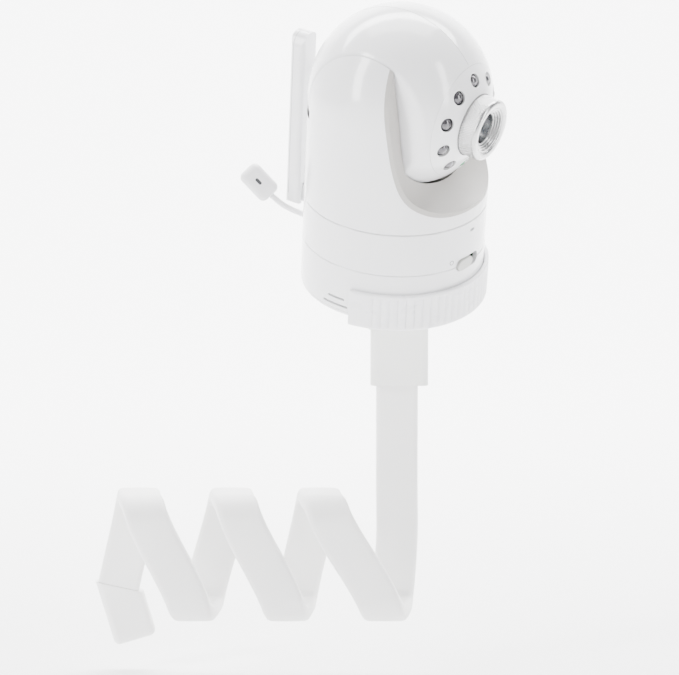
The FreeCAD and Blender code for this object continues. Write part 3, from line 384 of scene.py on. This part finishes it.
out = []
for i in range(49):
    a = math.radians(-SPAN + 2 * SPAN * i / 48)
    out.append((39.6 * math.sin(a), -39.6 * math.cos(a)))
for i in range(25):
    a = math.radians(SPAN + (360 - 2 * SPAN) * i / 24)
    out.append((20.0 * math.sin(a), -20.0 * math.cos(a)))
n = len(out)
verts = [unit(x, y, LOW + 0.02) for x, y in out] + [unit(x, y, FLOOR - 0.02) for x, y in out]
faces = [tuple(range(n))[::-1], tuple(range(n, 2 * n))] + [(i, (i + 1) % n, n + (i + 1) % n, n + i) for i in range(n)]
floor_ = make("cradle_floor", verts, faces, M["cradle_white"], angle=30)
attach(floor_, "cradle")

PIV = ORG - UP * 18.0
up2 = Vector((0, UP.y, UP.z)).normalized()
bk2 = Vector((1, 0, 0)).cross(up2) * -1.0
outline = []
for k in range(25):
    a = math.radians(180 + 180 * k / 24)
    outline.append((7.0 * math.cos(a), 7.0 * math.sin(a)))
outline += [(7.0, 9.2), (-7.0, 9.2)]
n = len(outline)
verts = []
layers = [(-5.0, 0.45), (-4.55, 0.0), (4.55, 0.0), (5.0, 0.45)]
for x, inset in layers:
    for u, v in outline:
        r = math.hypot(u, v)
        k = (r - inset) / r if v <= 0.01 else 1.0
        uu = u * k if v <= 0.01 else u - math.copysign(inset, u)
        p = PIV + Vector((1, 0, 0)) * x + bk2 * uu + up2 * (v * k)
        verts.append(p * MM)
faces = grid_faces(4, n)
faces += [tuple(range(n))[::-1], tuple(range(3 * n, 4 * n))]
lug = make("cradle_lug", verts, faces, M["cradle_white"], angle=35)
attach(lug, "cradle")

# ---------------------------------------------------------------- lens: knurled barrel with a stepped bore
SEG = 432
prof = [(9.86, 34.05, 0), (13.45, 34.05, 0), (13.85, 34.4, 0)]
prof += [(14.0, 34.8 + 10.6 * i / 70, 1) for i in range(71)]
prof += [(14.0, 45.6, 0), (13.9, 46.0, 0), (13.6, 46.45, 0), (13.1, 46.85, 0), (12.4, 47.0, 0), (11.2, 46.8, 0), (10.5, 46.5, 0), (10.3, 46.2, 0),
         (10.3, 45.4, 0), (10.3, 43.0, 0), (9.9, 42.7, 0), (9.86, 41.0, 0)]
u, w = frame_of(LN)
NK = 72
verts = []
for r, h, kn in prof:
    for k in range(SEG):
        t = 2 * math.pi * k / SEG
        rr = r
        if kn:
            edge = min(1.0, (h - 34.8) / 0.6, (45.4 - h) / 0.6)
            s1 = abs(((NK * t / (2 * math.pi) + (h - 34) * 0.62) % 1.0) - 0.5) * 2
            s2 = abs(((NK * t / (2 * math.pi) - (h - 34) * 0.62) % 1.0) - 0.5) * 2
            rr = r - 0.38 * max(0.0, edge) * (1 - min(s1, s2) ** 0.9)
        verts.append(unit(*(HC + LN * h + (u * math.cos(t) + w * math.sin(t)) * rr)))
faces = grid_faces(len(prof), SEG, closed_rows=True)
barrel = make("lens_ring", verts, faces, M["lens_metal"], angle=50)
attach(barrel, "lens")
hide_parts("lens_barrel")
# stepped insert inside the bore, in front of the glass
st = [(10.25, 46.0), (9.6, 45.9), (9.5, 45.1), (8.8, 45.0), (8.7, 44.3), (8.0, 44.2), (7.9, 43.5), (7.0, 43.4), (6.9, 42.7), (10.25, 42.7)]
verts = turned(st, HC, LN, 96)
insert = make("lens_steps", verts, grid_faces(len(st), 96, closed_rows=True), M["lens_metal"], angle=30)
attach(insert, "lens")


# ---------------------------------------------------------------- infrared lamps; the bright rims in the face are a lighter, glossier white than the shell, a painted highlight on the hole bevels
def led_dir(psi):
    a, p = math.radians(30.4), math.radians(psi)
    return (LN * math.cos(a) + (LU * math.cos(p) + LR * math.sin(p)) * math.sin(a)).normalized()


def lamp(tag, psi, dome_mat):
    d = led_dir(psi)
    dome = [(3.1, 35.4), (3.1, 38.4)] + [(3.1 * math.cos(math.radians(a)), 38.4 + 3.1 * math.sin(math.radians(a))) for a in range(8, 90, 8)]
    dome += [(0.05, 41.5)]
    vs = turned(dome, HC, d, 48)
    fs = grid_faces(len(dome), 48) + [tuple(range(48))[::-1], tuple(range((len(dome) - 1) * 48, len(dome) * 48))]
    o1 = make("lamp_" + tag, vs, fs, dome_mat, angle=50)
    # black ring in the gap between dome and hole wall: painted shade of the gap
    shade_ring = [(3.14, 38.6), (3.14, 39.7), (3.28, 39.7), (3.28, 38.6)]
    vs = turned(shade_ring, HC, d, 40)
    o2 = make("lamp_shade_ring_" + tag, vs, grid_faces(len(shade_ring), 40, closed_rows=True), M["lens_black"], angle=40)
    # torus on the real hole bevel; its lighter white is a painted highlight
    rim = []
    for k in range(12):
        a = 2 * math.pi * k / 12
        rim.append((3.42 + 0.26 * math.cos(a), 40.86 + 0.22 * math.sin(a)))
    vs = turned(rim, HC, d, 48)
    o3 = make("lamp_rim_" + tag, vs, grid_faces(12, 48, closed_rows=True), M["rim_white"], angle=60)
    for o in (o1, o2, o3):
        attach(o, "head")
    return o1, o2, o3


first = None
for i, psi in enumerate([0, 36, -36, 72, -72, 108, -108, 144, -144]):
    a_, b_, c_ = lamp(f"{i}", psi, M["led_clear"])
    first = first or a_
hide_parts("ir_leds")
g_, _, _ = lamp("green", 180, M["sensor_green"])
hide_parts("light_sensor")

# ---------------------------------------------------------------- small marks and seams


def polar(delta, r, z):
    d = math.radians(delta)
    return Vector((r * math.sin(d), -r * math.cos(d), z))


# ring mark beside the power switch
verts = []
for rr, out_ in ((0.80, 40.98), (0.80, 41.03), (1.12, 41.03), (1.12, 40.98)):
    for k in range(28):
        t = 2 * math.pi * k / 28
        verts.append(unit(*polar(-19.7 + math.degrees(rr * math.cos(t) / 41.0), out_, 19.86 + rr * math.sin(t))))
mark = make("off_mark", verts, grid_faces(4, 28, closed_rows=True), M["mark_grey"])
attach(mark, "camera_base")

# vent in the room sensor: the black patch at the surface is painted shade of the vent opening
HD = Vector((-0.26, 0.66, 0.70)).normalized()
VD = Vector((-0.7465, -0.4537, 0.4868))
NV = (VD - HD * VD.dot(HD)).normalized()
WV = HD.cross(NV)
tip = Vector(LEAD[-1])


def rounded_block(name, centre, axes, half, rad, n, material):
    """Block with ball-rounded edges, built face by face, unit frame mm."""
    vs, fs = [], []
    for ax in range(3):
        for sgn in (-1, 1):
            base = len(vs)
            b, c = (ax + 1) % 3, (ax + 2) % 3
            for i in range(n + 1):
                for k in range(n + 1):
                    q = [0.0, 0.0, 0.0]
                    q[ax] = sgn * half[ax]
                    q[b] = half[b] * math.sin(math.pi / 2 * (2 * i / n - 1))
                    q[c] = half[c] * math.sin(math.pi / 2 * (2 * k / n - 1))
                    inner = [max(-half[m] + rad, min(half[m] - rad, q[m])) for m in range(3)]
                    dv = Vector([q[m] - inner[m] for m in range(3)]).normalized() * rad
                    vs.append(unit(*(centre + axes[0] * (inner[0] + dv.x) + axes[1] * (inner[1] + dv.y) + axes[2] * (inner[2] + dv.z))))
            for i in range(n):
                for k in range(n):
                    a = base + i * (n + 1) + k
                    fs.append((a, a + 1, a + n + 2, a + n + 1))
    return make(name, vs, fs, material, angle=60)


block = rounded_block("sensor_block", tip + HD * 8.1, (WV, NV, HD), (5.4, 3.8, 8.2), 3.0, 24, M["lead_white"])
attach(block, "camera_base")
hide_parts("sensor_head")
verts = []
for depth, sc in ((3.3, 1.0), (3.83, 1.0), (3.86, 0.85)):
    for k in range(32):
        t = 2 * math.pi * k / 32
        lx = 0.75 * sc * math.cos(t)
        lz = 0.75 * sc * math.sin(t) + math.copysign(1.05, math.sin(t) + 1e-9)
        verts.append(unit(*(tip + WV * lx + NV * depth + HD * (9.2 + lz))))
vent_shade = make("sensor_vent_shade", verts, grid_faces(3, 32) + [tuple(range(32))[::-1], tuple(range(64, 96))], M["lens_black"])
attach(vent_shade, "camera_base")

# parting line of the two head shells, in the middle plane, from the face plate over the top to the back
verts = []
N_S = 72
for i in range(N_S + 1):
    a = math.radians(41.0 + 110.0 * i / N_S)
    d = LN * math.cos(a) + LU * math.sin(a)
    for r_, x_ in ((41.03, -0.11), (41.03, 0.11), (40.8, 0.11), (40.8, -0.11)):
        verts.append(unit(*(HC + d * r_ + LR * x_)))
faces = grid_faces(N_S + 1, 4) + [(0, 1, 2, 3), tuple(range(N_S * 4, (N_S + 1) * 4))[::-1]]
hseam = make("head_seam", verts, faces, M["seam_grey"])
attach(hseam, "head")

# parting line round the aerial
AY, AT, AW, AZ1, ATOP = 51.2, 7.2, 12.0, 21.5, 102.4
path = [(-AW / 2, AZ1 + 2.0), (-AW / 2, ATOP - AW / 2)]
for k in range(1, 24):
    a = math.pi - math.pi * k / 24
    path.append((AW / 2 * math.cos(a), ATOP - AW / 2 + AW / 2 * math.sin(a)))
path += [(AW / 2, ATOP - AW / 2), (AW / 2, AZ1 + 2.0)]
ys = AY + AT / 2 - 1.9
verts = []
for i, (x, z) in enumerate(path):
    p0, p1 = Vector(path[max(0, i - 1)]), Vector(path[min(len(path) - 1, i + 1)])
    t = (p1 - p0).normalized()
    nx, nz = -t.y, t.x
    for dn, dy in ((0.03, -0.10), (0.03, 0.10), (-0.2, 0.10), (-0.2, -0.10)):
        verts.append(unit(x + nx * dn, ys + dy, z + nz * dn))
faces = grid_faces(len(path), 4) + [(0, 1, 2, 3), tuple(range((len(path) - 1) * 4, len(path) * 4))[::-1]]
seam = make("aerial_seam", verts, faces, M["seam_grey"])
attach(seam, "aerial")

# ---------------------------------------------------------------- floor, sweep and lights
zf = cad_lo.z - 0.012
prof = [(-2.2, zf), (0.9, zf)]
for k in range(1, 13):
    a = math.radians(90 * k / 12)
    prof.append((0.9 + 0.7 * math.sin(a), zf + 0.7 * (1 - math.cos(a))))
prof += [(1.6, zf + 3.2)]
verts, faces = [], []
for x in (-4.0, 4.0):
    for y, z in prof:
        verts.append((x, y, z))
n = len(prof)
faces = [(i, i + 1, n + i + 1, n + i) for i in range(n - 1)]
ground = make("ground", verts, faces, surface("m_ground", (0.93, 0.93, 0.93), 0.75, grain=40, bump=0.01, vary=0.004), angle=80)

world = bpy.data.worlds.new("w")
bpy.context.scene.world = world
world.use_nodes = True
world.node_tree.nodes["Background"].inputs["Color"].default_value = (0.97, 0.975, 1.0, 1)
world.node_tree.nodes["Background"].inputs["Strength"].default_value = 0.62


def area(name, loc, target, sx, sy, power):
    l = bpy.data.lights.new(name, "AREA")
    l.shape = "RECTANGLE"
    l.size, l.size_y, l.energy = sx, sy, power
    o = bpy.data.objects.new(name, l)
    bpy.context.scene.collection.objects.link(o)
    o.location = loc
    o.rotation_euler = (Vector(target) - Vector(loc)).to_track_quat("-Z", "Y").to_euler()
    return o


mid = (-0.02, 0.0, 0.13)
area("key", (-1.25, -0.85, 0.75), mid, 0.32, 1.5, 42)
area("fill", (1.25, -0.85, 0.55), mid, 0.22, 1.4, 20)
area("top", (0.0, 0.25, 1.45), mid, 1.3, 0.7, 25)
area("back_wall", (0.0, 0.7, 1.5), (0.0, 1.6, 0.35), 2.8, 0.9, 210)
